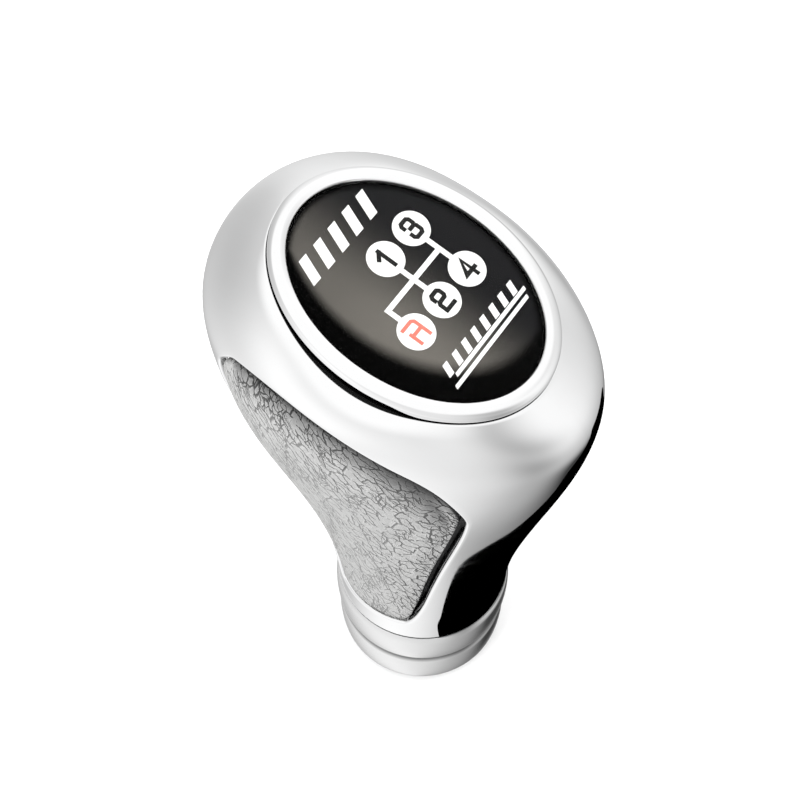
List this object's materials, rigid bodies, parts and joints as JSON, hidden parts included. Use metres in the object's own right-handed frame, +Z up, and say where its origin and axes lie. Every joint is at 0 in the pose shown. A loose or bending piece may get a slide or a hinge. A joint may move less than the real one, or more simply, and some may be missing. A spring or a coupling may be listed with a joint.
{
  "type": "gear shift knob",
  "caption": "Pear-shaped gear shift knob with a plated shell, leather side panels, a domed oval shift-pattern badge and a screwed lock collar over a lever clamp.",
  "frame": {"origin": "middle of the lever hole's mouth, level with the foot of the lock collar", "axes": "+Z up along the lever, -Y toward the driver, +X to the driver's right"},
  "size_m": [0.0476, 0.0589, 0.1047],
  "materials": {
    "core_plastic": "moulded black",
    "bright_chrome": "mirror plated",
    "tray_plastic": "gloss black",
    "screw_steel": "dark plated steel",
    "white_foam": "closed-cell foam",
    "badge_enamel": "charcoal to warm grey enamel",
    "white_ink": "printed",
    "red_ink": "printed",
    "clear_resin": "poured clear resin",
    "grey_leather": "crackled grain",
    "bush_brass": "turned",
    "sleeve_aluminium": "turned",
    "black_rubber": "smooth",
    "collar_chrome": "satin plated"
  },
  "bodies": {
    "knob": {"grip_core": "core_plastic", "chrome_shell": "bright_chrome", "bezel_ring": "bright_chrome", "badge_tray": "tray_plastic", "tray_screws": "screw_steel", "badge_foam_pad": "white_foam", "badge_plate": "badge_enamel", "shift_gate_print": "white_ink", "reverse_print": "red_ink", "stripe_print": "white_ink", "badge_dome": "clear_resin", "left_insert_carrier": "core_plastic", "right_insert_carrier": "core_plastic", "left_foam_layer": "white_foam", "right_foam_layer": "white_foam", "left_leather_panel": "grey_leather", "right_leather_panel": "grey_leather", "clamp_bush": "bush_brass", "grub_screws": "screw_steel", "adapter_sleeve": "sleeve_aluminium", "lever_buffer": "black_rubber"},
    "friction_ring": {"collar_o_ring": "black_rubber"},
    "collar": {"lock_collar": "collar_chrome"}
  },
  "joints": [
    {"name": "collar_travel", "type": "slide", "parent": "knob", "child": "friction_ring", "axis": [0, 0, -1], "range_m": [0, 0.0075]},
    {"name": "collar_turn", "type": "hinge", "parent": "friction_ring", "child": "collar", "pos_m": [0, 0, 0], "axis": [0, 0, -1], "range_deg": [0, 1800]}
  ],
  "couplings": [
    {"joint": "collar_travel", "follows": "collar_turn", "m_per_rad": 0.00023873}
  ]
}
